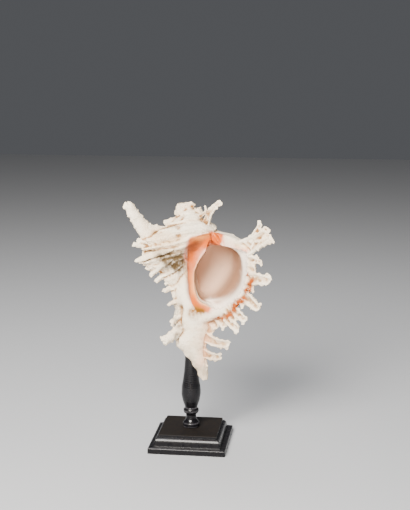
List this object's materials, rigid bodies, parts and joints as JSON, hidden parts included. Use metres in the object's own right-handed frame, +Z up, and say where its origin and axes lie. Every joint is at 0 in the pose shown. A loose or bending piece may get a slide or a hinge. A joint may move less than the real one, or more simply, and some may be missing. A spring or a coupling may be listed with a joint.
{
  "type": "murex shell on stand",
  "caption": "Spiny spiral sea shell with a wide smooth opening and a pointed canal, held upright on a turned black stem and a stepped square plinth.",
  "frame": {"origin": "centre of the plinth's underside, on the stem's axis", "axes": "+Z up the stem; -Y toward the viewer of the shell's opening; +X to that viewer's right"},
  "size_m": [0.1718, 0.1462, 0.2929],
  "materials": {
    "shell_aragonite": "matte chalky outside, satin porcelain inside",
    "ebonised_wood": "satin black lacquer",
    "pin_steel": "plain drawn steel"
  },
  "bodies": {
    "root": {"plinth": "ebonised_wood", "stem": "ebonised_wood", "pin": "pin_steel", "shell": "shell_aragonite"}
  },
  "joints": []
}
